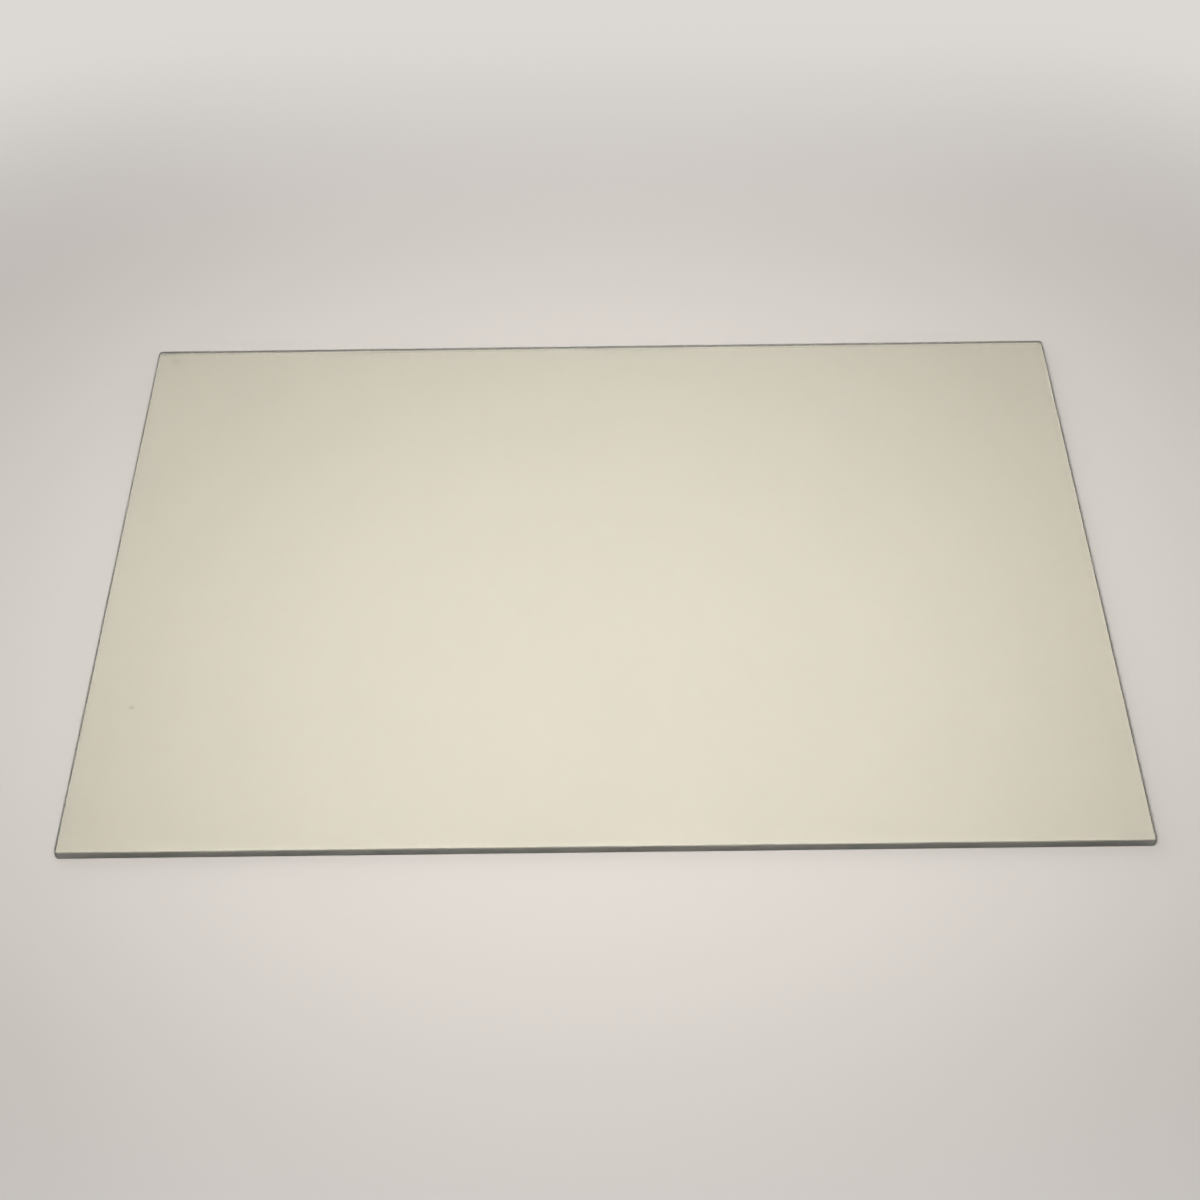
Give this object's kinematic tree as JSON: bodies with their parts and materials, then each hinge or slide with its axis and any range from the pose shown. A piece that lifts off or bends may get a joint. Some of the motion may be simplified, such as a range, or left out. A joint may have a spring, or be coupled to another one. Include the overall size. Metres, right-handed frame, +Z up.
{
  "type": "oven door inner glass",
  "caption": "Flat rectangular sheet of toughened glass with ground edges and blunted corners, fitted as the inner pane of an oven door.",
  "frame": {"origin": "middle of the underside, the face the sheet lies on", "axes": "+X along the longer edge, the door's width; +Y along the shorter edge, the door's height; +Z up through the thickness"},
  "size_m": [0.47, 0.35, 0.004],
  "materials": {
    "toughened_glass": "polished faces with a faint warm tint, satin ground edges"
  },
  "bodies": {
    "root": {"inner_glass": "toughened_glass"}
  },
  "joints": []
}
